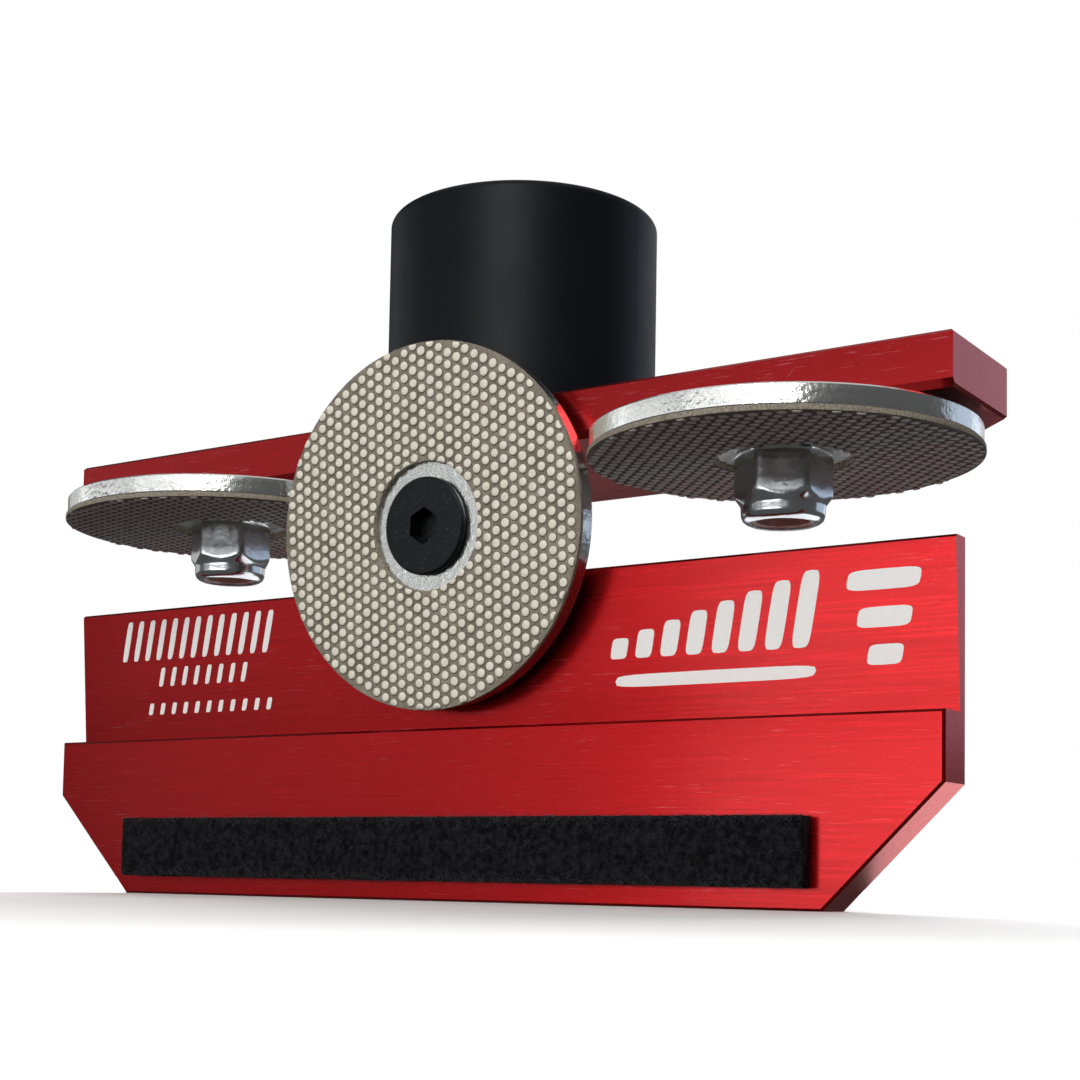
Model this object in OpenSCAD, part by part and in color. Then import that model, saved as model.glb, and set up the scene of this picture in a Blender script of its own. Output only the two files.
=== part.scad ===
// Ski edge tuning tool: two plates at a right angle carry three abrasive discs.
// The felt strip and the front disc slide on the ski's base, and the two discs
// under the top plate polish its side edge.
// +X runs along the tool, +Y to the back and +Z up along the handle. The origin
// is the middle of the guide plate's lower edge.

/* [Plates] */
// Length of both plates
tool_l = 131; // [120:1:150]
// Thickness of both plates
plate_t = 6; // [5.5:0.5:8]
// Front to back depth of the top plate
top_d = 32; // [30:1:40]
// Size of the 45 degree cut at each back corner of the top plate
top_cut = 15.5; // [4:0.5:18]
// Height of the top plate's underside
top_z = 55; // [54:0.5:60]
// How far the top plate's front face lies behind the guide plate's front face
top_setback = 2.1; // [1.5:0.1:3]
// Height of the guide plate
guide_h = 39.5; // [38:0.5:41]
// Height of the ledge where the guide plate's face steps back
ledge_h = 21; // [18:0.5:24]
// Size of the 45 degree cut at each lower corner of the guide plate
guide_cut = 13.5; // [5:0.5:16]
// Depth of the step at the guide plate's upper edge
step_d = 3; // [2.5:0.1:3.4]
// Forward lean of the upper face and of the front disc, in degrees
lean = 4; // [0:0.5:5]
// Small chamfer on the plates' edges
edge_c = 0.3; // [0.1:0.1:0.4]
// Larger chamfer on the top plate's lower front edge
lip_c = 0.8; // [0.4:0.1:1.2]

/* [Discs] */
// Diameter of the steel discs
disc_d = 44.5; // [42:0.5:45]
// Thickness of the steel discs
disc_t = 2.4; // [2:0.1:2.8]
// Diameter of the abrasive sheets
sheet_d = 45; // [43:0.5:46]
// Thickness of the abrasive sheets
sheet_t = 0.8; // [0.6:0.1:1.2]
// Diameter of the hole in the abrasive sheets
sheet_hole = 15.8; // [14:0.1:18]
// Distance of the side discs' axes from the middle
side_x = 42.75; // [40:0.25:44]
// Distance of the side discs' axes behind the guide plate's middle plane
side_y = 6; // [4:0.5:9]
// Height of the front disc's centre
front_z = 45.9; // [44.9:0.1:46.4]

/* [Handle] */
// Diameter of the handle
handle_d = 35.2; // [30:0.2:36]
// Height of the handle
handle_h = 28; // [22:1:45]
// Radius on the handle's top edge
handle_r = 1; // [0.5:0.1:3]

/* [Felt] */
// Length of the felt strip
felt_l = 101.5; // [90:0.5:103]
// Height of the felt strip
felt_h = 7.8; // [6:0.2:10]
// Thickness of the felt strip
felt_t = 2.2; // [1.5:0.1:3]
// Height of the felt strip's lower edge
felt_z = 2.4; // [1:0.1:5]

/* [Centre block] */
// Width of the block that joins the plates
block_w = 28; // [26:1:30]
// Height where the block's leg starts behind the guide plate
block_z = 24; // [20:1:24]
// Thickness of the block's leg
leg_t = 5; // [5:0.5:7]

/* [Hidden] */
$fn = 96;

// Plates
half_l = tool_l / 2;
face_y = -plate_t / 2;
back_y = plate_t / 2;
top_y = face_y + top_setback;
top_mid_y = top_y + top_d / 2;
slope_y = face_y + step_d;
slope_k = tan(lean);

// Screws, as thread radius, head radius and hex key size across corners
m6_r = 3;
m6_head_r = 6;
m6_key_r = 4 / sqrt(3);
m4_r = 2;
m4_head_r = 3.75;
m4_key_r = 2.5 / sqrt(3);
thread_gap = 0.05;
run_gap = 0.08;
clear_gap = 0.2;
rim_h = 0.3;

// Lock nuts, washers and the handle's insert
nut_af = 10;
nut_h = 8;
nut_hex_h = 5.6;
nut_collar_r = 4.8;
insert_h = 1.9;
insert_r = 4.1;
side_washer_t = 1;
front_washer_t = 1.6;
washer_r = 6;
handle_insert_r = 4.5;
handle_insert_l = 12;

// Centre block
block_back_y = back_y + leg_t;
block_x = 8;
block_top_y = 3.5;
block_front_z = 30;
spot_r = 7;
spot_at = 8;

// Screw lengths, measured from the flat top of the head
side_screw_l = 16;
handle_screw_l = 16;
top_screw_l = 12;
front_screw_l = 20;
block_screw_l = 7;

// Stack under the top plate, from the washer down to the nut
side_disc_z = top_z - side_washer_t;
side_sheet_z = side_disc_z - disc_t;

// The front disc's axis starts on the leaning face, and its stack is outward
front_proud = 1;
front_sheet_at = front_washer_t + disc_t;

function leaning_y(z) = slope_y - slope_k * (z - guide_h);

// Places children so that local +Z points out of the leaning face
module on_front_axis() {
    translate([0, leaning_y(front_z), front_z])
        rotate([90 + lean, 0, 0])
            children();
}

// Copies children to the left and right of the middle
module both_sides(x) {
    for (side = [-1, 1])
        translate([side * x, 0, 0])
            children();
}

// Outline with chamfered edges on both faces, extruded upwards from z = 0
module chamfered_plate(thick, c) {
    hull() {
        translate([0, 0, c])
            linear_extrude(thick - 2 * c)
                children();
        linear_extrude(thick)
            offset(delta = -c)
                children();
    }
}

// Countersunk screw pointing down, with the flat of its head at z = 0
module countersunk_screw(r, head_r, key_r, len, key_turn = 0) {
    difference() {
        rotate_extrude()
            polygon([
                [0, 0], [head_r - rim_h, 0], [head_r, -rim_h], [head_r, -2 * rim_h],
                [r, -2 * rim_h - (head_r - r)], [r, -len + 0.5], [r - 0.5, -len], [0, -len]
            ]);
        rotate([0, 0, key_turn])
            translate([0, 0, -r * 0.75])
                cylinder(h = r, r = key_r, $fn = 6);
    }
}

// Hole for that screw, with the same origin
module countersunk_hole(r, head_r, depth) {
    rotate_extrude()
        polygon([
            [0, 1], [head_r + clear_gap, 1], [head_r + clear_gap, -2 * rim_h],
            [r + clear_gap, -2 * rim_h - (head_r - r)], [r + clear_gap, -depth], [0, -depth]
        ]);
}

// Lock nut pointing down from z = 0: a chamfered hexagon and a rolled collar
module lock_nut() {
    corner_r = nut_af / sqrt(3);
    bevel = corner_r - nut_af / 2 + 0.1;
    difference() {
        union() {
            intersection() {
                translate([0, 0, -nut_hex_h])
                    cylinder(h = nut_hex_h, r = corner_r, $fn = 6);
                rotate_extrude()
                    polygon([
                        [0, 0], [nut_af / 2 - 0.1, 0], [corner_r, -bevel * 0.6],
                        [corner_r, bevel * 1.4 - nut_hex_h], [nut_af / 2 - 0.2, -nut_hex_h],
                        [0, -nut_hex_h]
                    ]);
            }
            rotate_extrude()
                union() {
                    polygon([
                        [0, -nut_hex_h + 0.5], [nut_collar_r, -nut_hex_h + 0.5],
                        [nut_collar_r, 1 - nut_h], [nut_collar_r - 1, -nut_h], [0, -nut_h]
                    ]);
                    translate([nut_collar_r - 1, 1 - nut_h])
                        intersection() {
                            circle(r = 1, $fn = 48);
                            translate([0, -1])
                                square([1, 1]);
                        }
                }
        }
        translate([0, 0, -nut_h - 1])
            cylinder(h = nut_h + 2, r = m6_r + thread_gap);
        translate([0, 0, -nut_h + 0.35])
            cylinder(h = insert_h, r = insert_r);
        translate([0, 0, -nut_h - 1])
            cylinder(h = 2, r = insert_r - 0.5);
    }
}

// Nylon ring held in the lock nut's collar
module nut_insert() {
    difference() {
        translate([0, 0, -nut_h + 0.35])
            cylinder(h = insert_h, r = insert_r);
        translate([0, 0, -nut_h])
            cylinder(h = nut_h, r = m6_r + thread_gap / 2);
    }
}

// Flat round ring from z = 0 upwards
module ring(outer_r, inner_r, h) {
    difference() {
        cylinder(h = h, r = outer_r);
        translate([0, 0, -1])
            cylinder(h = h + 2, r = inner_r);
    }
}

// Steel disc from z = 0 upwards, with its rim broken on both faces
module steel_disc() {
    c = 0.2;
    r = disc_d / 2;
    rotate_extrude()
        polygon([
            [m6_r + run_gap, 0], [r - c, 0], [r, c], [r, disc_t - c], [r - c, disc_t],
            [m6_r + run_gap, disc_t]
        ]);
}

module top_plate() {
    color("#b3262b")
        difference() {
            translate([0, top_y, top_z])
                chamfered_plate(plate_t, edge_c)
                    polygon([
                        [-half_l, 0], [half_l, 0], [half_l, top_d - top_cut],
                        [half_l - top_cut, top_d], [top_cut - half_l, top_d],
                        [-half_l, top_d - top_cut]
                    ]);
            translate([0, top_y, top_z])
                rotate([45, 0, 0])
                    cube([tool_l + 2, lip_c * sqrt(2), lip_c * sqrt(2)], center = true);
            both_sides(side_x)
                translate([0, side_y, top_z + plate_t])
                    countersunk_hole(m6_r, m6_head_r, plate_t + 1);
            both_sides(block_x)
                translate([0, block_top_y, top_z + plate_t])
                    countersunk_hole(m4_r, m4_head_r, plate_t + 1);
            translate([0, top_mid_y, top_z])
                mirror([0, 0, 1])
                    countersunk_hole(m6_r, m6_head_r, plate_t + 1);
        }
}

// Side profile of the guide plate, drawn as [y, z]
module guide_profile() {
    c = edge_c;
    polygon([
        [face_y + c, 0], [back_y - c, 0], [back_y, c],
        [back_y, guide_h - c], [back_y - c, guide_h],
        [slope_y + c, guide_h], [leaning_y(guide_h - c), guide_h - c],
        [leaning_y(ledge_h), ledge_h], [face_y + c, ledge_h], [face_y, ledge_h - c],
        [face_y, c]
    ]);
}

// Front outline of the guide plate, drawn as [x, z]
module guide_outline() {
    polygon([
        [guide_cut - half_l, 0], [half_l - guide_cut, 0], [half_l, guide_cut],
        [half_l, guide_h], [-half_l, guide_h], [-half_l, guide_cut]
    ]);
}

module guide_plate() {
    color("#b3262b")
        difference() {
            intersection() {
                rotate([90, 0, 90])
                    translate([0, 0, -half_l])
                        linear_extrude(tool_l)
                            guide_profile();
                translate([0, back_y, 0])
                    rotate([90, 0, 0])
                        chamfered_plate(plate_t, edge_c)
                            guide_outline();
            }
            both_sides(block_x)
                translate([0, leaning_y(block_front_z), block_front_z])
                    rotate([90 + lean, 0, 0])
                        countersunk_hole(m4_r, m4_head_r, plate_t);
        }
}

// Block that joins the plates: a leg behind the guide plate and a head on its upper edge
module centre_block() {
    color("#8d8f92")
        difference() {
            rotate([90, 0, 90])
                translate([0, 0, -block_w / 2])
                    linear_extrude(block_w)
                        polygon([
                            [back_y, block_z], [block_back_y, block_z], [block_back_y, top_z],
                            [leaning_y(top_z), top_z], [slope_y, guide_h], [back_y, guide_h]
                        ]);
            on_front_axis() {
                translate([0, 0, -20])
                    cylinder(h = 30, r = m6_r + clear_gap);
                translate([0, 0, -spot_at - 6])
                    cylinder(h = 6, r = spot_r);
            }
            both_sides(block_x) {
                translate([0, block_top_y, top_z - 7])
                    cylinder(h = 8, r = m4_r + thread_gap);
                translate([0, leaning_y(block_front_z), block_front_z])
                    rotate([90 + lean, 0, 0])
                        translate([0, 0, -10])
                            cylinder(h = 10, r = m4_r + thread_gap);
            }
        }
}

module felt_strip() {
    color("#17171b")
        translate([-felt_l / 2, face_y - felt_t, felt_z])
            cube([felt_l, felt_t, felt_h]);
}

module handle() {
    foot_z = top_z + plate_t;
    r = handle_d / 2;
    color("#1c1f23")
        translate([0, top_mid_y, foot_z])
            rotate_extrude()
                union() {
                    polygon([
                        [0, handle_insert_l], [handle_insert_r, handle_insert_l],
                        [handle_insert_r, 0], [r - 0.4, 0], [r, 0.4], [r, handle_h - handle_r],
                        [r - handle_r, handle_h - handle_r], [r - handle_r, handle_h],
                        [0, handle_h]
                    ]);
                    translate([r - handle_r, handle_h - handle_r])
                        intersection() {
                            circle(r = handle_r, $fn = 48);
                            square(handle_r);
                        }
                }
}

// Threaded brass insert pressed into the handle's foot
module handle_insert() {
    color("#c9a75a")
        translate([0, top_mid_y, top_z + plate_t])
            ring(handle_insert_r, m6_r + thread_gap, handle_insert_l);
}

module handle_screw() {
    color("#3b3d40")
        translate([0, top_mid_y, top_z])
            mirror([0, 0, 1])
                countersunk_screw(m6_r, m6_head_r, m6_key_r, handle_screw_l);
}

module block_top_screws() {
    color("#3b3d40")
        both_sides(block_x)
            translate([0, block_top_y, top_z + plate_t])
                countersunk_screw(m4_r, m4_head_r, m4_key_r, top_screw_l);
}

module block_front_screws() {
    color("#3b3d40")
        both_sides(block_x)
            translate([0, leaning_y(block_front_z), block_front_z])
                rotate([90 + lean, 0, 0])
                    countersunk_screw(m4_r, m4_head_r, m4_key_r, block_screw_l);
}

// The side discs' parts take the side as -1 for left and 1 for right
module side_disc(side) {
    color("#cfd6d9")
        translate([side * side_x, side_y, side_sheet_z])
            steel_disc();
}

module side_abrasive(side) {
    color("#8f8776")
        translate([side * side_x, side_y, side_sheet_z - sheet_t])
            ring(sheet_d / 2, sheet_hole / 2, sheet_t);
}

module side_washer(side) {
    color("#e8e6df")
        translate([side * side_x, side_y, side_disc_z])
            ring(washer_r, m6_r + run_gap, side_washer_t);
}

module side_disc_screw(side) {
    color("#3b3d40")
        translate([side * side_x, side_y, top_z + plate_t])
            countersunk_screw(m6_r, m6_head_r, m6_key_r, side_screw_l);
}

module side_lock_nut(side) {
    turn = side < 0 ? 28 : 25;
    color("#c4c9cc")
        translate([side * side_x, side_y, side_sheet_z])
            rotate([0, 0, turn])
                lock_nut();
}

module left_disc() { side_disc(-1); }
module left_abrasive() { side_abrasive(-1); }
module left_washer() { side_washer(-1); }
module left_disc_screw() { side_disc_screw(-1); }
module left_lock_nut() { side_lock_nut(-1); }
module right_disc() { side_disc(1); }
module right_abrasive() { side_abrasive(1); }
module right_washer() { side_washer(1); }
module right_disc_screw() { side_disc_screw(1); }
module right_lock_nut() { side_lock_nut(1); }

// Radius of the front disc's countersink at a distance from its front face
function sink_r(depth) = m6_head_r + 2 * rim_h - front_proud + run_gap - depth;

module front_disc() {
    r = disc_d / 2;
    c = 0.2;
    color("#cfd6d9")
        on_front_axis()
            translate([0, 0, front_washer_t])
                rotate_extrude()
                    polygon([
                        [sink_r(disc_t), 0], [r - c, 0], [r, c], [r, disc_t - c],
                        [r - c, disc_t], [sink_r(0), disc_t]
                    ]);
}

module front_abrasive() {
    color("#8f8776")
        on_front_axis()
            translate([0, 0, front_sheet_at])
                ring(sheet_d / 2, sheet_hole / 2, sheet_t);
}

module front_washer() {
    color("#cfd6d9")
        on_front_axis()
            ring(washer_r, m6_r + 2 * clear_gap, front_washer_t);
}

module front_disc_screw() {
    color("#2e3032")
        on_front_axis()
            translate([0, 0, front_sheet_at + front_proud])
                countersunk_screw(m6_r, m6_head_r, m6_key_r, front_screw_l, 85);
}

module front_lock_nut() {
    color("#c4c9cc")
        on_front_axis()
            translate([0, 0, -spot_at])
                lock_nut();
}

module lock_nut_inserts() {
    color("#dfe4ea") {
        both_sides(side_x)
            translate([0, side_y, side_sheet_z])
                nut_insert();
        on_front_axis()
            translate([0, 0, -spot_at])
                nut_insert();
    }
}

top_plate();
guide_plate();
centre_block();
felt_strip();
handle();
handle_insert();
handle_screw();
block_top_screws();
block_front_screws();
left_disc();
left_abrasive();
left_washer();
left_disc_screw();
left_lock_nut();
right_disc();
right_abrasive();
right_washer();
right_disc_screw();
right_lock_nut();
front_disc();
front_abrasive();
front_washer();
front_disc_screw();
front_lock_nut();
lock_nut_inserts();
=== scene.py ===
"""Looks of a ski edge tuning tool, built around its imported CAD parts."""

import math

import bpy
import numpy as np
from mathutils import Matrix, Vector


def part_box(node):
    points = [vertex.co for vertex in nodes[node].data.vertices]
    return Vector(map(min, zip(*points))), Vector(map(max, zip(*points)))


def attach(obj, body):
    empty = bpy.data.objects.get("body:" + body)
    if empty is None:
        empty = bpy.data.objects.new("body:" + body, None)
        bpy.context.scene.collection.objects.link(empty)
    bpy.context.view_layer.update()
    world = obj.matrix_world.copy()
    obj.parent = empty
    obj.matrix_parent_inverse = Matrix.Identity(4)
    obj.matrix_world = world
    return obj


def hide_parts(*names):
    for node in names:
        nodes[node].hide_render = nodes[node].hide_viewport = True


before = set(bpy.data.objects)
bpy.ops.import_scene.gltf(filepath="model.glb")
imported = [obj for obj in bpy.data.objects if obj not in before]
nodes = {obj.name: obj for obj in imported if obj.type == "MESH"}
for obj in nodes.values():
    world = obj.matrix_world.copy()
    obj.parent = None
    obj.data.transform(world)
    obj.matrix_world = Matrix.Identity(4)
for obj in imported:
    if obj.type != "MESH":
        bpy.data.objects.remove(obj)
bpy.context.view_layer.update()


# ---------------------------------------------------------------------------
# Plates. Two lengths of 6 mm aluminium bar, milled to outline, glass-bead
# cleaned and dyed red in the anodising bath. The cutter leaves fine lines along
# their length, and skis rub light scuffs into the lower face.

MM = 0.001


def linear(hex_colour):
    """Turns an sRGB hex colour into linear light, channel by channel."""
    srgb = np.array([int(hex_colour[i:i + 2], 16) for i in (1, 3, 5)]) / 255
    light = np.where(srgb <= 0.04045, srgb / 12.92, ((srgb + 0.055) / 1.055) ** 2.4)
    return (*light.tolist(), 1.0)


def add(tree, kind, inputs, **settings):
    """Adds a shader node with its settings; each input is a value or another node's output."""
    node = tree.nodes.new("ShaderNode" + kind)
    for name, value in settings.items():
        setattr(node, name, value)
    for name, value in inputs.items():
        if isinstance(value, bpy.types.Node):
            value = value.outputs[0]
        if isinstance(value, bpy.types.NodeSocket):
            tree.links.new(value, node.inputs[name])
        else:
            node.inputs[name].default_value = value
    return node


def new_material(name):
    """An empty node material, its tree, and the object's own coordinates in metres."""
    material = bpy.data.materials.new(name)
    material.use_nodes = True
    tree = material.node_tree
    tree.nodes.clear()
    return material, tree, add(tree, "TexCoord", {}).outputs["Object"]


def close_material(tree, **inputs):
    """Ends a tree in a Principled shader; underscores in the names stand for spaces."""
    shader = add(tree, "BsdfPrincipled", {n.replace("_", " "): v for n, v in inputs.items()})
    add(tree, "OutputMaterial", {"Surface": shader})


def paint(material, *names):
    """Gives CAD nodes a material in all their slots."""
    for name in names:
        for one in nodes[name].material_slots:
            one.material = material


def cutter_lines(tree, place, pitch, length):
    """Noise drawn out along X: lines one pitch apart and one length long."""
    at = add(tree, "Mapping", {"Vector": place, "Scale": (1 / length, 1 / pitch, 1 / pitch)})
    return add(tree, "TexNoise", {"Vector": at, "Scale": 1.0, "Detail": 3.0, "Roughness": 0.65})


def streaks(tree, place, turn, pitch, length, share):
    """Short straight scratches: the peaks of noise drawn out along a turned X, as 0 to 1."""
    turned = add(tree, "Mapping", {"Vector": place, "Rotation": turn})
    noise = cutter_lines(tree, turned, pitch, length)
    return add(tree, "MapRange", {"Value": noise, "From Min": share, "From Max": share + 0.08})


def anodised_aluminium(name, light, deep):
    """Red dye under a clear oxide skin: metal that reflects red, with a pale sheen on top."""
    material, tree, place = new_material("anodised_aluminium_" + name)
    lines = cutter_lines(tree, place, 0.3 * MM, 16 * MM)
    cloud = add(tree, "TexNoise", {"Vector": place, "Scale": 1 / (14 * MM), "Detail": 3.0})
    grain = add(tree, "TexNoise", {"Vector": place, "Scale": 1 / (0.2 * MM), "Detail": 2.0})
    level = streaks(tree, place, (0.0, 0.0, 0.0), 0.2 * MM, 5 * MM, 0.62)
    steep = streaks(tree, place, (0.0, 0.7, 0.0), 0.25 * MM, 3 * MM, 0.68)
    patch = add(tree, "TexNoise", {"Vector": place, "Scale": 1 / (22 * MM), "Detail": 2.0})
    rubbed = add(tree, "MapRange", {"Value": patch, "From Min": 0.4, "From Max": 0.62,
                                    "To Max": 0.45})
    both = add(tree, "Math", {0: level, 1: steep}, operation="MAXIMUM")
    scuffs = add(tree, "Math", {0: both, 1: rubbed}, operation="MULTIPLY")
    dye = add(tree, "MixRGB", {"Fac": cloud, "Color1": linear(deep), "Color2": linear(light)})
    lined = add(tree, "MapRange", {"Value": lines, "From Min": 0.35, "From Max": 0.8,
                                   "To Max": 0.35})
    dark = add(tree, "MixRGB", {"Fac": lined, "Color1": dye, "Color2": linear("#a21115")})
    pores = add(tree, "MapRange", {"Value": grain, "From Min": 0.3, "From Max": 0.7, "To Max": 0.3})
    grainy = add(tree, "MixRGB", {"Fac": pores, "Color1": dark, "Color2": linear("#8e0f13")})
    worn = add(tree, "MixRGB", {"Fac": scuffs, "Color1": grainy, "Color2": linear("#e8808a")})
    gloss = add(tree, "MapRange", {"Value": lines, "From Min": 0.3, "From Max": 0.7,
                                   "To Min": 0.25, "To Max": 0.34})
    relief = add(tree, "Math", {0: lines, 1: grain}, operation="ADD")
    bump = add(tree, "Bump", {"Height": relief, "Strength": 0.6, "Distance": 0.006 * MM})
    close_material(
        tree, Base_Color=worn, Metallic=1.0, Roughness=gloss, Normal=bump,
        Coat_Weight=0.18, Coat_Roughness=0.15, Coat_IOR=1.6,
    )
    return material


# The top plate gets darker reds than the guide plate: painted shade for its front, which catches
# less of the front light.
paint(anodised_aluminium("top", "#b0181d", "#a61317"), "top_plate")
paint(anodised_aluminium("guide", "#cf1d22", "#c4161b"), "guide_plate")


# ---------------------------------------------------------------------------
# Printed marks. Rows of gauge strokes on the left, and rising bars beside a stack of
# bars on the right, in white enamel 0.02 mm proud of the leaning face. The enamel
# dries slightly uneven.

def middle(name):
    """Middle of a CAD node's box."""
    low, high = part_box(name)
    return np.array(low + high) / 2


def new_piece(name, points, faces, materials, body, slot):
    """Makes a mesh object from points and faces that rides on a body."""
    mesh = bpy.data.meshes.new(name)
    mesh.from_pydata(points.reshape(-1, 3), [], faces)
    mesh.validate()
    piece = bpy.data.objects.new(name, mesh)
    bpy.context.scene.collection.objects.link(piece)
    for one in materials:
        mesh.materials.append(one)
    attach(piece, body)
    return piece


def shade_smooth(piece):
    """Makes every face of a piece shade smoothly."""
    mesh = piece.data
    mesh.polygons.foreach_set("use_smooth", np.ones(len(mesh.polygons), bool))


def enamel():
    """White filling paint: a chalky gloss with small pits."""
    material, tree, place = new_material("enamel")
    pits = add(tree, "TexNoise", {"Vector": place, "Scale": 1 / (0.25 * MM), "Detail": 3.0})
    tone = add(tree, "MixRGB", {"Fac": pits, "Color1": linear("#ffffff"),
                                "Color2": linear("#f3f0ed")})
    bump = add(tree, "Bump", {"Height": pits, "Strength": 0.6, "Distance": 0.01 * MM})
    close_material(tree, Base_Color=tone, Roughness=0.45, Normal=bump)
    return material


def superellipse(turn, power):
    """Points of |x|^power + |z|^power = 1 at the angles in turn, as x and z."""
    across, up = np.cos(turn), np.sin(turn)
    bend = 2 / power
    return np.sign(across) * np.abs(across) ** bend, np.sign(up) * np.abs(up) ** bend


STROKE_POINTS = 20
STROKE_PROUD = 0.02 * MM
STROKE_DEPTH = 0.06 * MM


def strokes(centres, sizes, slants):
    """Rounded strokes on the leaning face.

    Each outline is a superellipse of power five, sheared by its slant, laid on the face's
    slope and carried a little outwards from it. Centres and sizes are in millimetres.
    """
    turn = np.linspace(0, 2 * np.pi, STROKE_POINTS, endpoint=False)
    across, up = superellipse(turn, 5)
    centres, sizes, slants = (np.array(a, float) for a in (centres, sizes, slants))
    z = centres[:, 1, None] + up * sizes[:, 1, None] / 2
    shear = (z - centres[:, 1, None]) * slants[:, None]
    x = centres[:, 0, None] + across * sizes[:, 0, None] / 2 + shear
    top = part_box("guide_plate")[1].z
    y = -math.tan(LEAN) * (z * MM - top) + middle("guide_plate")[1]
    outside = np.stack([x * MM, y - STROKE_PROUD, z * MM], axis=2)
    inside = outside + [0, STROKE_DEPTH, 0]
    points = np.concatenate([outside, inside], axis=1)
    first = np.arange(len(centres))[:, None] * 2 * STROKE_POINTS
    ring = np.arange(STROKE_POINTS)
    after = (ring + 1) % STROKE_POINTS
    fronts = (first + ring).tolist()
    backs = (first + 2 * STROKE_POINTS - 1 - ring).tolist()
    walls = np.stack([ring, ring + STROKE_POINTS, after + STROKE_POINTS, after], axis=1)
    return points, fronts + backs + (first[:, :, None] + walls).reshape(-1, 4).tolist()


outward = middle("front_abrasive") - middle("front_disc")
LEAN = math.atan2(outward[2], outward[1]) + math.pi

# each row of the gauge: its strokes' places along X, their height, and their size
places = np.arange(-56.5, -29.5, 2.2)
rows = [(places, 35.2, (1.0, 5.6)),
        (places[3:-2], 30.0, (0.8, 2.6)),
        (places[2:], 25.6, (0.8, 1.6))]
gauge = [(x, z) for along, z, _ in rows for x in along]
gauge_sizes = [size for along, _, size in rows for _ in along]
bars = np.arange(24.5, 49, 3.4)
bar_heights = np.linspace(2.4, 8.4, len(bars))
sign = [(x, 28.6 + tall / 2) for x, tall in zip(bars, bar_heights)]
sign_sizes = [(2.2, tall) for tall in bar_heights]
# the line under the bars, then the stack of three
sign += [(36.6, 26.0), (57.4, 35.4), (57.4, 31.4), (57.4, 27.4)]
sign_sizes += [(25.5, 1.5), (8.4, 2.2), (6.2, 2.2), (4.0, 2.2)]
new_piece(
    "engraved_marks",
    *strokes(gauge + sign, gauge_sizes + sign_sizes, [0.25] * len(gauge) + [0.2] * len(sign)),
    [enamel()], "frame", "red_anodised",
)


# ---------------------------------------------------------------------------
# Centre block. A short length of aluminium bar, sawn and milled, left plain.
# It shows the cutter's lines and the grey of bare metal.

def milled_aluminium():
    """Bare aluminium from the mill: a grey metal with fine lines."""
    material, tree, place = new_material("milled_aluminium")
    lines = cutter_lines(tree, place, 0.35 * MM, 9 * MM)
    stain = add(tree, "TexNoise", {"Vector": place, "Scale": 1 / (5 * MM), "Detail": 3.0})
    tone = add(tree, "MixRGB", {"Fac": stain, "Color1": linear("#8f9295"),
                                "Color2": linear("#b4b6b8")})
    gloss = add(tree, "MapRange", {"Value": lines, "To Min": 0.25, "To Max": 0.5})
    bump = add(tree, "Bump", {"Height": lines, "Strength": 0.8, "Distance": 0.01 * MM})
    close_material(tree, Base_Color=tone, Metallic=1.0, Roughness=gloss, Normal=bump)
    return material


paint(milled_aluminium(), "centre_block")


# ---------------------------------------------------------------------------
# Steel discs and front washer. Cold-rolled steel turned on a lathe and zinc plated.
# They show rings on their faces, lines round their rims and small dents.

def round_place(tree, place, name):
    """Coordinates about a round part's axis: distance from the axis, zero, and height along it."""
    turn = (math.pi / 2 + LEAN, 0.0, 0.0) if name.startswith("front") else (math.pi, 0.0, 0.0)
    local = add(tree, "Mapping", {"Vector": place, "Location": middle(name), "Rotation": turn},
                vector_type="TEXTURE")
    flat = add(tree, "Mapping", {"Vector": local, "Scale": (1.0, 1.0, 0.0)})
    radius = add(tree, "VectorMath", {0: flat}, operation="LENGTH").outputs["Value"]
    height = add(tree, "SeparateXYZ", {0: local}).outputs["Z"]
    height = add(tree, "Math", {0: height, 1: 0.12}, operation="MULTIPLY").outputs[0]
    return add(tree, "CombineXYZ", {"X": radius, "Z": height}).outputs[0]


def plated_steel(name, lathe_pitch, dent, colours, roughness):
    """Zinc plate on turned steel: a bright blue-grey metal over lathe rings and soft dents."""
    material, tree, place = new_material("zinc_plated_steel_" + name)
    turned = round_place(tree, place, name)
    rings = add(tree, "TexNoise", {"Vector": turned, "Scale": 1 / lathe_pitch, "Detail": 2.0})
    dents = add(tree, "TexNoise", {"Vector": place, "Scale": 1 / (0.7 * MM), "Detail": 2.0})
    bloom = add(tree, "TexNoise", {"Vector": place, "Scale": 1 / (4 * MM), "Detail": 4.0})
    tone = add(tree, "MixRGB", {"Fac": bloom, "Color1": linear(colours[0]),
                                "Color2": linear(colours[1])})
    gloss = add(tree, "MapRange", {"Value": rings, "From Min": 0.3, "From Max": 0.7,
                                   "To Min": roughness, "To Max": roughness + 0.12})
    soft = add(tree, "Bump", {"Height": dents, "Strength": 1.0, "Distance": dent})
    bump = add(tree, "Bump", {"Height": rings, "Strength": 0.5, "Distance": dent / 10,
                              "Normal": soft})
    close_material(tree, Base_Color=tone, Metallic=1.0, Roughness=gloss, Normal=bump)
    return material


for side in ("left", "right", "front"):
    disc_steel = plated_steel(side + "_disc", 0.2 * MM, 0.06 * MM, ("#e6e9e7", "#f4f6f4"), 0.16)
    paint(disc_steel, side + "_disc")
washer_steel = plated_steel("front_washer", 0.35 * MM, 0.004 * MM, ("#f2f4f2", "#fbfcfb"), 0.44)
paint(washer_steel, "front_washer")


# ---------------------------------------------------------------------------
# Abrasive sheets. Cloth-backed discs glued to the steel, stamped out with a hole.
# Cream resin dots full of fine grit stand on the taupe cloth in close-packed
# rows, and the stamped edge is pale and slightly ragged.

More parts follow.
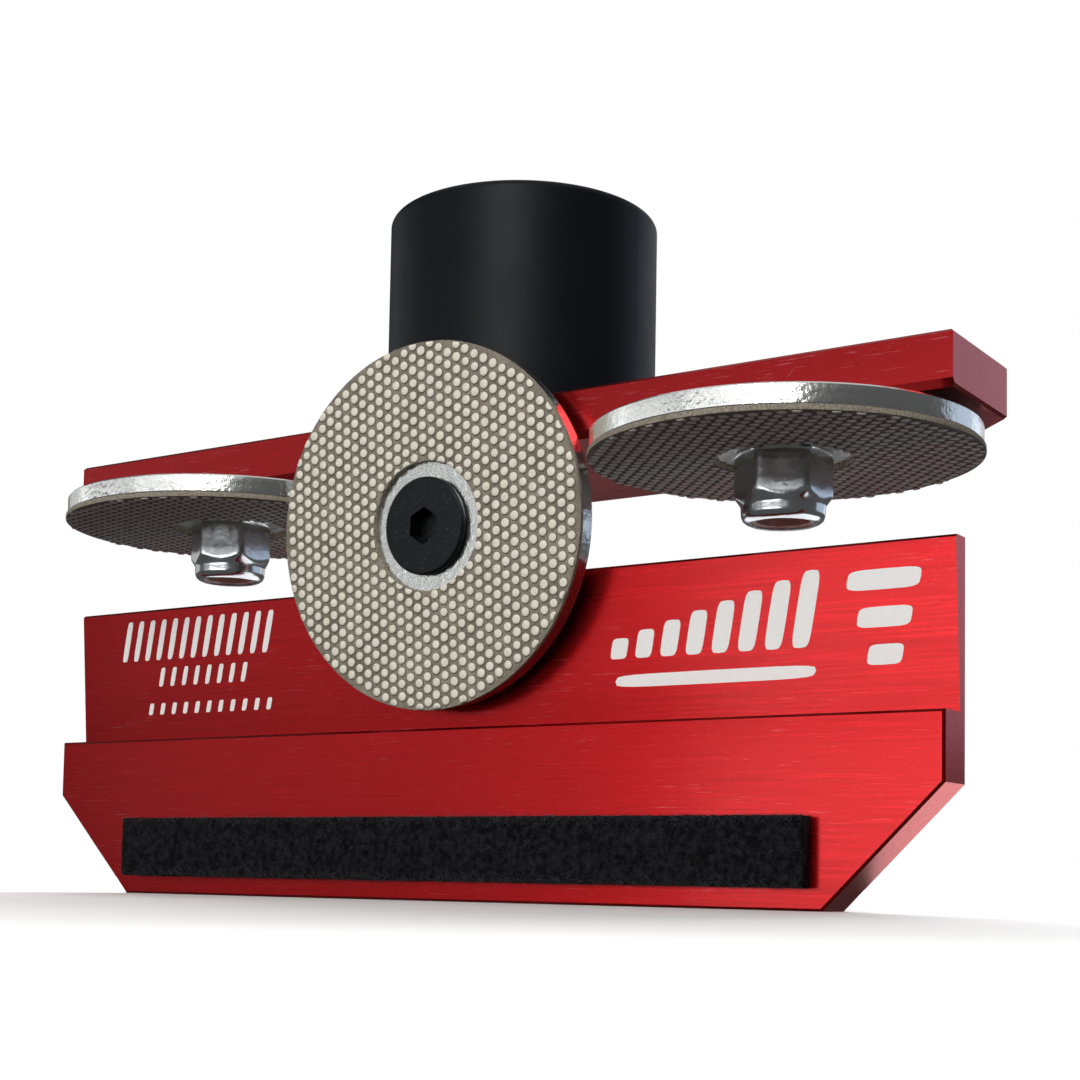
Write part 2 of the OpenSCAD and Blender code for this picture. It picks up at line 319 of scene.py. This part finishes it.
DOT_PITCH = 1.53 * MM
DOT_RADIUS = 0.54 * MM
DOT_HEIGHT = 0.2 * MM
HOLE_RADIUS = 7.9 * MM
DOT_SIDES = 12
SECTION_POINTS = 10


def backing_cloth(name, low, high):
    """Resin-soaked cloth: matt, with a fine plain weave and soft blotches."""
    material, tree, place = new_material("backing_cloth_" + name)
    weave = add(tree, "TexNoise", {"Vector": place, "Scale": 1 / (0.3 * MM), "Detail": 2.0})
    blotch = add(tree, "TexNoise", {"Vector": place, "Scale": 1 / (3 * MM), "Detail": 3.0})
    mixed = add(tree, "Math", {0: weave, 1: blotch}, operation="MULTIPLY")
    spread = add(tree, "MapRange", {"Value": mixed, "From Min": 0.12, "From Max": 0.4})
    tone = add(tree, "MixRGB", {"Fac": spread, "Color1": linear(low), "Color2": linear(high)})
    bump = add(tree, "Bump", {"Height": weave, "Strength": 0.8, "Distance": 0.03 * MM})
    close_material(tree, Base_Color=tone, Roughness=0.8, Normal=bump)
    return material


def stamped_edge():
    """The stamped edge of the cloth: pale fibres, torn a little by the die."""
    material, tree, place = new_material("stamped_edge")
    fibres = add(tree, "TexNoise", {"Vector": place, "Scale": 1 / (0.2 * MM), "Detail": 4.0})
    spread = add(tree, "MapRange", {"Value": fibres, "From Min": 0.35, "From Max": 0.7})
    tone = add(tree, "MixRGB", {"Fac": spread, "Color1": linear("#a39b8b"),
                                "Color2": linear("#655d50")})
    bump = add(tree, "Bump", {"Height": fibres, "Strength": 1.0, "Distance": 0.05 * MM})
    close_material(tree, Base_Color=tone, Roughness=0.9, Normal=bump)
    return material


def gritty_resin(name, light, shaded):
    """Resin dots full of grit: pale crowns, matt and grainy, with painted shade in dark brown round
    their feet.
    """
    material, tree, place = new_material("gritty_resin_" + name)
    grit = add(tree, "TexVoronoi", {"Vector": place, "Scale": 1 / (0.11 * MM)})
    shade = add(tree, "TexNoise", {"Vector": place, "Scale": 1 / (1.1 * MM), "Detail": 2.0})
    mixed = add(tree, "Math", {0: grit.outputs["Distance"], 1: shade}, operation="MULTIPLY")
    spread = add(tree, "MapRange", {"Value": mixed, "From Min": 0.1, "From Max": 0.5})
    crown = add(tree, "MixRGB", {"Fac": spread, "Color1": linear(light), "Color2": linear(shaded)})
    rise = add(tree, "Attribute", {}, attribute_name="rise").outputs["Fac"]
    # Painted shade: where rise is low, at the feet and low walls of each dot, the colour goes dark
    # brown for the shade round each dot.
    tone = add(tree, "MixRGB", {"Fac": rise, "Color1": linear("#4f483c"), "Color2": crown})
    bump = add(tree, "Bump", {"Height": grit.outputs["Distance"], "Strength": 0.7,
                              "Distance": 0.02 * MM})
    close_material(tree, Base_Color=tone, Roughness=0.62, Normal=bump)
    return material


def ragged(turn, seed, size, waves):
    """A small random ripple round a circle: the sum of sine waves with random phases."""
    random = np.random.default_rng(seed)
    counts = random.integers(3, waves, 24)
    phases = random.uniform(0, 2 * np.pi, 24)
    weights = random.normal(0, size / 5, 24)
    return (weights * np.sin(turn[:, None] * counts + phases)).sum(axis=1)


def closed_grid(rows, columns):
    """Quads of a grid of points whose rows and columns both run round and meet themselves."""
    i, j = np.meshgrid(np.arange(rows), np.arange(columns), indexing="ij")
    i, j = i.ravel(), j.ravel()
    right, next_row = (j + 1) % columns, (i + 1) % rows
    return np.stack([i * columns + j, next_row * columns + j,
                     next_row * columns + right, i * columns + right], axis=1)


def on_wheel(name, points):
    """Takes points drawn about a sheet's own middle, Z outwards, to their place on the tool."""
    outwards = middle(name + "_abrasive") - middle(name + "_disc")
    turn = Matrix.Rotation(math.atan2(-outwards[1], outwards[2]), 3, "X")
    return points @ np.array(turn).T + middle(name + "_abrasive")


def shade_flats(piece, degrees):
    """Smooth shading, with edges sharper than an angle kept crisp."""
    shade_smooth(piece)
    piece.data.set_sharp_from_angle(angle=math.radians(degrees))


def cloth_ring(radius, thickness, seed):
    """The cloth disc: a flat ring's section carried round a full turn.

    The section has its corners rounded by 0.05 mm, and both the rim and the hole
    wander by a few hundredths of a millimetre where the die tore the fibres.
    """
    turn = np.linspace(0, 2 * np.pi, 480, endpoint=False)
    low, high = -thickness / 2, thickness / 2 - DOT_HEIGHT
    soft = 0.05 * MM
    r = [HOLE_RADIUS + soft, radius - soft, radius, radius, radius, radius - soft,
         HOLE_RADIUS + soft, HOLE_RADIUS, HOLE_RADIUS, HOLE_RADIUS]
    z = [low, low, low + soft, (low + high) / 2, high - soft, high,
         high, high - soft, (low + high) / 2, low + soft]
    r = np.tile(r, (len(turn), 1))
    for column in (2, 3, 4):
        r[:, column] -= np.abs(ragged(turn, seed + column, 0.05 * MM, 150))
    for column in (7, 8, 9):
        r[:, column] += ragged(turn, seed + column, 0.06 * MM, 70)
    z = np.tile(z, (len(turn), 1))
    points = np.stack([r * np.cos(turn)[:, None], r * np.sin(turn)[:, None], z], axis=2)
    return points, closed_grid(*r.shape)


def resin_dots(radius, thickness, turn, seed):
    """The dots: one low dome repeated on a triangular lattice that the disc's edges clip.

    Rows lie one pitch times the cosine of 30 degrees apart, every other row is set
    half a pitch along, and the lattice is turned as the sheet was stuck on.
    """
    random = np.random.default_rng(seed)
    count = int(radius / DOT_PITCH) + 3
    i, j = np.meshgrid(np.arange(-count, count + 1), np.arange(-count, count + 1), indexing="ij")
    x = (i * math.cos(math.pi / 6) * DOT_PITCH).ravel()
    y = ((j + (i % 2) / 2) * DOT_PITCH).ravel()
    from_middle = np.hypot(x, y)
    kept = (from_middle < radius - DOT_RADIUS / 3) & (from_middle > HOLE_RADIUS - DOT_RADIUS / 5)
    x, y = x[kept], y[kept]
    x, y = x * math.cos(turn) - y * math.sin(turn), x * math.sin(turn) + y * math.cos(turn)
    sizes = random.uniform(0.94, 1.05, len(x))
    x += random.normal(0, 0.02 * MM, len(x))
    y += random.normal(0, 0.02 * MM, len(y))
    ring = np.linspace(0, 2 * np.pi, DOT_SIDES, endpoint=False)
    r = np.array([1.2, 1.06, 0.97, 0.78]) * DOT_RADIUS
    z = np.array([-0.02 * MM, 0.3 * DOT_HEIGHT, 0.86 * DOT_HEIGHT, DOT_HEIGHT])
    base = thickness / 2 - DOT_HEIGHT
    dome = np.stack([r[:, None] * np.cos(ring), r[:, None] * np.sin(ring),
                     np.tile(z[:, None], (1, DOT_SIDES))], axis=2).reshape(-1, 3)
    at = np.stack([x, y, np.full(len(x), base)], axis=1)
    points = dome * np.stack([sizes, sizes, np.ones(len(x))], axis=1)[:, None] + at[:, None]
    reach = np.hypot(points[:, :, 0], points[:, :, 1])
    trimmed = np.clip(reach, HOLE_RADIUS + 0.05 * MM, radius - 0.16 * MM)
    points[:, :, :2] *= (trimmed / reach)[:, :, None]
    step, level = np.meshgrid(np.arange(DOT_SIDES), np.arange(len(r) - 1))
    step, level = step.ravel(), level.ravel() * DOT_SIDES
    after = (step + 1) % DOT_SIDES
    walls = np.stack([level + step, level + after,
                      level + DOT_SIDES + after, level + DOT_SIDES + step], axis=1)
    first = np.arange(len(x))[:, None] * len(r) * DOT_SIDES
    caps = (first + (len(r) - 1) * DOT_SIDES + np.arange(DOT_SIDES)).tolist()
    floors = (first + DOT_SIDES - 1 - np.arange(DOT_SIDES)).tolist()
    # rise gives the upper rings the pale crown colour; the lower rings get the painted shade round
    # the dot's foot.
    rise = np.tile(np.repeat([0.0, 0.15, 1.0, 1.0], DOT_SIDES), len(x))
    return points, (first[:, :, None] + walls).reshape(-1, 4).tolist() + caps + floors, rise


# The front sheet keeps the cloth's and resin's own colours. The side sheets get darker, greyer
# copies: painted shade for their undersides, which face away from the lights, greyed to hide the
# red light the plates throw on them.
unshaded = (backing_cloth("unshaded", "#6f685b", "#9a9283"), gritty_resin("unshaded", "#f4f0e2", "#d6d0be"))
dust_and_painted_shade = (backing_cloth("dust_and_painted_shade", "#545350", "#75746f"), gritty_resin("dust_and_painted_shade", "#c3c5c0", "#a2a4a0"))
edge = stamped_edge()
low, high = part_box("left_abrasive")
sheet_radius, sheet_thickness = (high.x - low.x) / 2, high.z - low.z
for side, turn, seed in (("left", -0.3, 3), ("right", 0.29, 17), ("front", 0.0, 29)):
    cloth, resin = unshaded if side == "front" else dust_and_painted_shade
    points, quads = cloth_ring(sheet_radius, sheet_thickness, seed)
    body = side + "_wheel"
    sheet = new_piece(side + "_sheet_cloth", on_wheel(side, points), quads, [cloth, edge],
                      body, "abrasive")
    shade_flats(sheet, 30)
    is_edge = np.isin(np.arange(SECTION_POINTS), (1, 2, 3, 4, 6, 7, 8, 9)).astype(int)
    slots = np.tile(is_edge, len(quads) // SECTION_POINTS)
    sheet.data.polygons.foreach_set("material_index", slots)
    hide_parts(side + "_abrasive")
    points, faces, rise = resin_dots(sheet_radius, sheet_thickness, turn, seed)
    dots = new_piece(side + "_sheet_dots", on_wheel(side, points), faces, [resin], body, "abrasive")
    dots.data.attributes.new("rise", "FLOAT", "POINT").data.foreach_set("value", rise)
    shade_smooth(dots)


# ---------------------------------------------------------------------------
# Screws, lock nuts, nylon and brass. The screws are black oxide steel with turned
# heads; the nuts are zinc plated and bright, each with a nylon ring inside. The
# thrust washers over the side discs are nylon too, and the handle's insert is brass.

def black_oxide_steel():
    """Oiled black oxide: a dark grey metal, faintly speckled, with lighter rubbed spots."""
    material, tree, place = new_material("black_oxide_steel")
    speckle = add(tree, "TexNoise", {"Vector": place, "Scale": 1 / (0.25 * MM), "Detail": 4.0})
    spots = add(tree, "MapRange", {"Value": speckle, "From Min": 0.6, "From Max": 1.0})
    tone = add(tree, "MixRGB", {"Fac": spots, "Color1": linear("#2e2f31"),
                                "Color2": linear("#77787b")})
    gloss = add(tree, "MapRange", {"Value": speckle, "To Min": 0.3, "To Max": 0.5})
    bump = add(tree, "Bump", {"Height": speckle, "Strength": 0.6, "Distance": 0.01 * MM})
    close_material(tree, Base_Color=tone, Metallic=1.0, Roughness=gloss, Normal=bump)
    return material


def moulded_nylon():
    """Natural nylon: milky, a little waxy."""
    material, tree, place = new_material("moulded_nylon")
    cloud = add(tree, "TexNoise", {"Vector": place, "Scale": 1 / (1.5 * MM), "Detail": 2.0})
    tone = add(tree, "MixRGB", {"Fac": cloud, "Color1": linear("#e4e2da"),
                                "Color2": linear("#cfccc2")})
    bump = add(tree, "Bump", {"Height": cloud, "Strength": 0.3, "Distance": 0.02 * MM})
    close_material(tree, Base_Color=tone, Roughness=0.45, Normal=bump, Subsurface_Weight=0.2,
                   Subsurface_Scale=0.5 * MM)
    return material


def machined_brass():
    """Bar brass: a warm yellow metal with turned rings."""
    material, tree, place = new_material("machined_brass")
    rings = add(tree, "TexNoise", {"Vector": round_place(tree, place, "handle_insert"),
                                   "Scale": 1 / (0.2 * MM), "Detail": 2.0})
    tone = add(tree, "MixRGB", {"Fac": rings, "Color1": linear("#c9a24e"),
                                "Color2": linear("#dcbb6d")})
    bump = add(tree, "Bump", {"Height": rings, "Strength": 0.5, "Distance": 0.01 * MM})
    close_material(tree, Base_Color=tone, Metallic=1.0, Roughness=0.28, Normal=bump)
    return material


paint(
    black_oxide_steel(), "handle_screw", "block_top_screws", "block_front_screws",
    "left_disc_screw", "right_disc_screw", "front_disc_screw",
)


NUT_SIDES = 144


def lock_nut(turn):
    """A lock nut about its own axis, seat at the bottom and collar on top.

    The outer radius is the smooth smaller of a rounded hexagon and a turned profile: the
    hexagon is 5 mm over the power mean of three cosines 60 degrees apart, and the profile
    draws in at the seat, falls to the collar and rolls over its end. The bore then runs
    back down past the groove that holds the nylon ring.
    """
    rise = np.concatenate([np.linspace(0, 0.6, 4), np.linspace(0.9, 4.3, 8),
                           np.linspace(4.5, 6.4, 10), np.linspace(6.7, 8.0, 10)])
    turned = np.interp(rise, [0, 0.5, 4.2, 5.5, 6.0, 7.1, 7.6, 7.9, 8.0],
                       [5.25, 6.6, 6.6, 5.2, 4.85, 4.8, 4.6, 4.2, 3.9])
    angle = np.linspace(0, 2 * np.pi, NUT_SIDES, endpoint=False)
    flats = angle - turn + np.pi / 6 + np.arange(3)[:, None] * np.pi / 3
    hexagon = 5.0 / (np.abs(np.cos(flats)) ** 26).sum(axis=0) ** (1 / 26)
    outer = (hexagon[None] ** -30 + turned[:, None] ** -30) ** (-1 / 30)
    bore_r = np.array([3.6, 3.6, 4.12, 4.12, 3.05, 3.05])
    bore_z = np.array([7.95, 7.65, 7.65, 5.75, 5.75, 0.0])
    r = np.concatenate([outer, np.tile(bore_r[:, None], (1, NUT_SIDES))])
    z = np.tile(np.concatenate([rise, bore_z])[:, None], (1, NUT_SIDES)) - 4.0
    points = np.stack([r * np.cos(angle), r * np.sin(angle), z], axis=2) * MM
    return points, closed_grid(*r.shape)[:, ::-1]


for side, turn in (("left", -28), ("right", -25), ("front", 0)):
    nut_steel = plated_steel(side + "_lock_nut", 0.3 * MM, 0.02 * MM, ("#ccd2d6", "#e4e8ea"), 0.12)
    points, quads = lock_nut(math.radians(turn))
    if side == "front":
        points = points * [1, -1, -1]
    name = side + "_lock_nut"
    place = on_wheel(side, points) - middle(side + "_abrasive") + middle(name)
    nut = new_piece(side + "_plated_nut", place, quads.tolist(), [nut_steel], "frame",
                    "zinc_steel")
    shade_flats(nut, 40)
    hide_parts(name)
paint(moulded_nylon(), "lock_nut_inserts", "left_washer", "right_washer")
paint(machined_brass(), "handle_insert")


# ---------------------------------------------------------------------------
# Handle. A short round grip moulded in black acetal, screwed on from below.
# The mould leaves a satin skin, and handling leaves dust and hairline marks.

def moulded_plastic():
    """Satin black acetal: near-black with a fine mould texture, dust specks and scratches."""
    material, tree, place = new_material("moulded_plastic")
    skin = add(tree, "TexNoise", {"Vector": place, "Scale": 1 / (0.16 * MM), "Detail": 3.0})
    cloud = add(tree, "TexNoise", {"Vector": place, "Scale": 1 / (6 * MM), "Detail": 3.0})
    dust = add(tree, "TexVoronoi", {"Vector": place, "Scale": 1 / (1.1 * MM), "Randomness": 1.0})
    specks = add(tree, "MapRange", {"Value": dust.outputs["Distance"], "From Min": 0.07,
                                    "From Max": 0.03, "To Max": 0.2})
    scratches = streaks(tree, place, (0.0, 0.0, 0.8), 0.3 * MM, 4 * MM, 0.74)
    faint = add(tree, "Math", {0: scratches, 1: 0.15}, operation="MULTIPLY")
    both = add(tree, "Math", {0: specks, 1: faint}, operation="MAXIMUM")
    tone = add(tree, "MixRGB", {"Fac": cloud, "Color1": linear("#0c0f14"),
                                "Color2": linear("#11141a")})
    # On the handle this mixes in dust specks and faint scratches only; no shade is painted here.
    dust_and_painted_shade = add(tree, "MixRGB", {"Fac": both, "Color1": tone, "Color2": linear("#6f6f6c")})
    gloss = add(tree, "MapRange", {"Value": cloud, "To Min": 0.38, "To Max": 0.52})
    bump = add(tree, "Bump", {"Height": skin, "Strength": 0.7, "Distance": 0.012 * MM})
    close_material(tree, Base_Color=dust_and_painted_shade, Roughness=gloss, Normal=bump, Specular_IOR_Level=0.13)
    return material


paint(moulded_plastic(), "handle")


# ---------------------------------------------------------------------------
# Felt strip. Dense black wool felt, cut from sheet with a knife and glued on.
# Its faces are slightly uneven, its corners soft, and loose fibres stand off it.

def wool_felt():
    """Black pressed wool: matt, mottled by matted fibres."""
    material, tree, place = new_material("wool_felt")
    fibres = add(tree, "TexNoise", {"Vector": place, "Scale": 1 / (0.22 * MM), "Detail": 4.0,
                                    "Roughness": 0.7, "Distortion": 1.2})
    tufts = add(tree, "TexNoise", {"Vector": place, "Scale": 1 / (0.7 * MM), "Detail": 3.0})
    mixed = add(tree, "Math", {0: fibres, 1: tufts}, operation="MULTIPLY")
    spread = add(tree, "MapRange", {"Value": mixed, "From Min": 0.17, "From Max": 0.4})
    tone = add(tree, "MixRGB", {"Fac": spread, "Color1": linear("#010102"),
                                "Color2": linear("#26262a")})
    bump = add(tree, "Bump", {"Height": mixed, "Strength": 1.0, "Distance": 0.16 * MM})
    close_material(tree, Base_Color=tone, Roughness=0.95, Normal=bump, Specular_IOR_Level=0.15)
    return material


def loose_wool():
    """Single wool hairs: dark grey, a shade lighter than the pressed felt, and slightly glossy."""
    material, tree, place = new_material("loose_wool")
    hairs = add(tree, "TexNoise", {"Vector": place, "Scale": 1 / (1.2 * MM), "Detail": 1.0})
    tone = add(tree, "MixRGB", {"Fac": hairs, "Color1": linear("#1b1b1f"),
                                "Color2": linear("#5e5e64")})
    close_material(tree, Base_Color=tone, Roughness=0.6, Specular_IOR_Level=0.3)
    return material


FELT_END = 0.2 * MM
HAIR_SIDES = 3


def felt_surface(low, high):
    """The strip: a rounded oblong section carried along X, drawn in at both ends.

    The section is a superellipse of power twenty. Over the last 0.2 mm it shrinks along a
    quarter circle, and sums of sine waves push the surface in by up to a tenth of
    a millimetre.
    """
    rows, columns = 420, 72
    run = np.linspace(0, 1, rows)
    length = high[0] - low[0]
    x = low[0] + length * run
    from_end = np.minimum(x - low[0], high[0] - x)
    draw_in = np.sqrt(np.clip(1 - (1 - from_end / FELT_END) ** 2, 0, 1))
    draw_in = np.where(from_end > FELT_END, 1, draw_in)
    turn = np.linspace(0, 2 * np.pi, columns, endpoint=False)
    across, up = superellipse(turn, 20)
    half = (high - low) / 2
    centre = (high + low) / 2
    shrink_y = half[1] - FELT_END * (1 - draw_in)
    shrink_z = half[2] - FELT_END * (1 - draw_in)
    ripple = np.zeros((rows, columns))
    random = np.random.default_rng(5)
    for _ in range(30):
        along, round_it = random.integers(4, 130), random.integers(0, 9)
        phase = random.uniform(0, 2 * np.pi)
        ripple += np.sin(2 * np.pi * along * run[:, None] + round_it * turn + phase)
    ripple = 1 - np.clip(0.5 + ripple / 16, 0, 1) * 0.035
    y = centre[1] + np.outer(shrink_y, across) * ripple
    z = centre[2] + np.outer(shrink_z, up) * ripple
    return np.stack([np.tile(x[:, None], (1, columns)), y, z], axis=2)


def tube_faces(rows, columns):
    """Quads along an open tube of points, with one flat face at each end."""
    quads = closed_grid(rows, columns)[:(rows - 1) * columns, ::-1].tolist()
    first, last = np.arange(columns), np.arange(columns) + (rows - 1) * columns
    return quads + [first[::-1].tolist(), last.tolist()]


def loose_fibres(surface, count):
    """Loose fibres: each a curved hair of three sides, rooted on the strip's free faces.

    A hair's middle line is root + outward * t + sideways * t squared, for t from 0 to its
    length, and its thickness falls to a point.
    """
    random = np.random.default_rng(11)
    rows, columns = surface.shape[:2]
    i, j = divmod(random.choice((rows - 2) * columns, count * 2, replace=False), columns)
    i += 1
    root = surface[i, j]
    along = surface[(i + 1) % rows, j] - surface[i - 1, j]
    round_it = surface[i, (j + 1) % columns] - surface[i, j - 1]
    outward = np.cross(round_it, along)
    outward /= np.linalg.norm(outward, axis=1)[:, None]
    middle_line = surface.reshape(-1, 3).mean(axis=0)
    outward *= np.sign(((root - middle_line) * outward).sum(axis=1))[:, None]
    free = np.flatnonzero(outward[:, 1] < 0.6)[:count]
    root, outward = root[free], outward[free]
    length = np.clip(random.gamma(3.0, 0.11, len(root)), 0.1, 0.7)[:, None] * MM
    lean = np.clip(random.normal(0, 1.0, (len(root), 3)), -1.5, 1.5)
    lean -= outward * (lean * outward).sum(axis=1)[:, None]
    t = np.array([0.0, 0.3, 0.6, 0.85, 1.0])
    reach = length[:, None] * t[:, None]
    line = root[:, None] + outward[:, None] * reach * 0.45 + lean[:, None] * reach * t[:, None]
    side_a = np.cross(outward, [0.3, 0.5, 0.8])
    side_a /= np.linalg.norm(side_a, axis=1)[:, None]
    side_b = np.cross(outward, side_a)
    ring = np.linspace(0, 2 * np.pi, HAIR_SIDES, endpoint=False)
    thickness = 0.018 * MM * np.array([1.0, 1.0, 0.9, 0.7, 0.25])
    offset = side_a[:, None] * np.cos(ring)[:, None] + side_b[:, None] * np.sin(ring)[:, None]
    points = line[:, :, None] + offset[:, None] * thickness[:, None, None]
    faces = tube_faces(len(t), HAIR_SIDES)
    quads, ends = np.array(faces[:-2]), np.array(faces[-2:])
    first = np.arange(len(root))[:, None, None] * len(t) * HAIR_SIDES
    quads, ends = (first + quads).reshape(-1, 4), (first + ends).reshape(-1, HAIR_SIDES)
    return points, quads.tolist() + ends.tolist()


felt = wool_felt()
low, high = (np.array(corner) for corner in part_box("felt_strip"))
surface = felt_surface(low, high)
pad = new_piece("felt_pad", surface, tube_faces(*surface.shape[:2]), [felt], "frame", "felt")
shade_smooth(pad)
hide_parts("felt_strip")
fibres = new_piece("felt_loose_fibres", *loose_fibres(surface, 7000), [loose_wool()], "frame",
                   "felt")
shade_smooth(fibres)


# ---------------------------------------------------------------------------
# Studio. A pale table in a dim room with ten soft boxes. Two rows of wide ones stand in
# front and on the left, a key light is above them, and a cool one is at the back right.
# The others are overhead and behind; the brightest of these is kept out of reflections.

def pale_table():
    """Matt white laminate."""
    material, tree, place = new_material("pale_table")
    cloud = add(tree, "TexNoise", {"Vector": place, "Scale": 3.0, "Detail": 3.0})
    tone = add(tree, "MixRGB", {"Fac": cloud, "Color1": linear("#e6e6e6"),
                                "Color2": linear("#e0e0e0")})
    close_material(tree, Base_Color=tone, Roughness=0.8)
    return material


def soft_box(name, azimuth, elevation, distance, size, radiance, colour, aim=(0.0, 0.0, 0.04)):
    """A soft box that looks at aim; its azimuth goes from the front round to the left."""
    data = bpy.data.lights.new(name, "AREA")
    data.shape = "RECTANGLE"
    data.size, data.size_y = size
    data.energy = radiance * math.pi * size[0] * size[1]
    data.color = linear(colour)[:3]
    lamp = bpy.data.objects.new(name, data)
    bpy.context.scene.collection.objects.link(lamp)
    lamp.visible_camera = False
    a, e = math.radians(azimuth), math.radians(elevation)
    away = np.array([-math.sin(a) * math.cos(e), -math.cos(a) * math.cos(e), math.sin(e)])
    turn = Matrix.Rotation(-a, 4, "Z") @ Matrix.Rotation(math.pi / 2 - e, 4, "X")
    lamp.matrix_world = Matrix.Translation(np.array(aim) + away * distance) @ turn
    return lamp


def stand(name, outline, in_reflections):
    """A flat piece of the table top: it lights nothing, and reflections show it if asked."""
    piece = bpy.data.objects.new(name, bpy.data.meshes.new(name))
    bpy.context.scene.collection.objects.link(piece)
    piece.data.from_pydata(outline, [], [list(range(len(outline)))])
    piece.data.materials.append(laminate)
    piece.visible_diffuse = False
    piece.visible_glossy = in_reflections


FLOOR_RADIUS = 600 * MM

laminate = pale_table()
turn = np.linspace(0, 2 * np.pi, 96, endpoint=False)
disc = np.stack([np.cos(turn), np.sin(turn), np.zeros(len(turn))], axis=1)
stand("floor", disc * FLOOR_RADIUS, False)
behind = np.array([(-90, 10, 0), (90, 10, 0), (90, 100, 0), (-90, 100, 0)]) * MM
stand("floor_behind", behind + [0, 0, 0.01 * MM], True)

soft_box("low_front", 2, -0.3, 0.7, (0.64, 0.12), 3.3, "#ffffff")
soft_box("low_left", 40, 1, 0.72, (0.3, 0.12), 0.62, "#ffffff")
soft_box("middle_front", -2, 16, 0.75, (0.96, 0.14), 1.15, "#ffffff")
soft_box("middle_left", 60, 16, 0.75, (0.7, 0.14), 0.85, "#ffffff")
soft_box("key", -20, 31, 0.7, (0.35, 0.35), 7.8, "#fffdfa")
soft_box("left", 95, 14, 0.7, (0.4, 0.3), 0.5, "#ffffff")
soft_box("back_right", -150, 20, 0.8, (0.6, 0.5), 0.65, "#d3e4ff")
soft_box("roof", 180, 90, 1.6, (2.4, 2.4), 0.5, "#ffffff")
soft_box("back_wall", 174, 22, 1.6, (1.4, 1.0), 0.5, "#ffffff")
back = soft_box("low_back", 152, 27, 1.6, (2.2, 0.7), 18.0, "#ffffff")
back.visible_glossy = False

world = bpy.data.worlds.new("room")
bpy.context.scene.world = world
world.use_nodes = True
tree = world.node_tree
tree.nodes.clear()
room = add(tree, "Background", {"Color": linear("#ffffff"), "Strength": 0.085})
seen = add(tree, "Background", {"Color": linear("#ffffff"), "Strength": 1.0})
to_camera = add(tree, "LightPath", {}).outputs["Is Camera Ray"]
both = add(tree, "MixShader", {0: to_camera, 1: room, 2: seen})
add(tree, "OutputWorld", {"Surface": both})


# ---------------------------------------------------------------------------
# Camera. A 36 mm sensor with a 59.9 mm lens, 3 mm above the table and 22 cm away on the
# tool's front right. It tilts up 4 degrees and is shifted up to take in the whole tool.

camera_data = bpy.data.cameras.new("camera")
camera_data.sensor_width = 36.0
camera_data.lens = 59.936
camera_data.shift_y = 0.2
camera_data.clip_start = 0.01
camera = bpy.data.objects.new("camera", camera_data)
bpy.context.scene.collection.objects.link(camera)
azimuth, pitch, roll = (math.radians(angle) for angle in (33.768, 3.871, 1.015))
camera.matrix_world = (
    Matrix.Translation((132.56 * MM, -177.21 * MM, 3.06 * MM))
    @ Matrix.Rotation(azimuth, 4, "Z")
    @ Matrix.Rotation(math.pi / 2 + pitch, 4, "X")
    @ Matrix.Rotation(roll, 4, "Z")
)
bpy.context.scene.camera = camera
bpy.context.scene.view_settings.view_transform = "Standard"
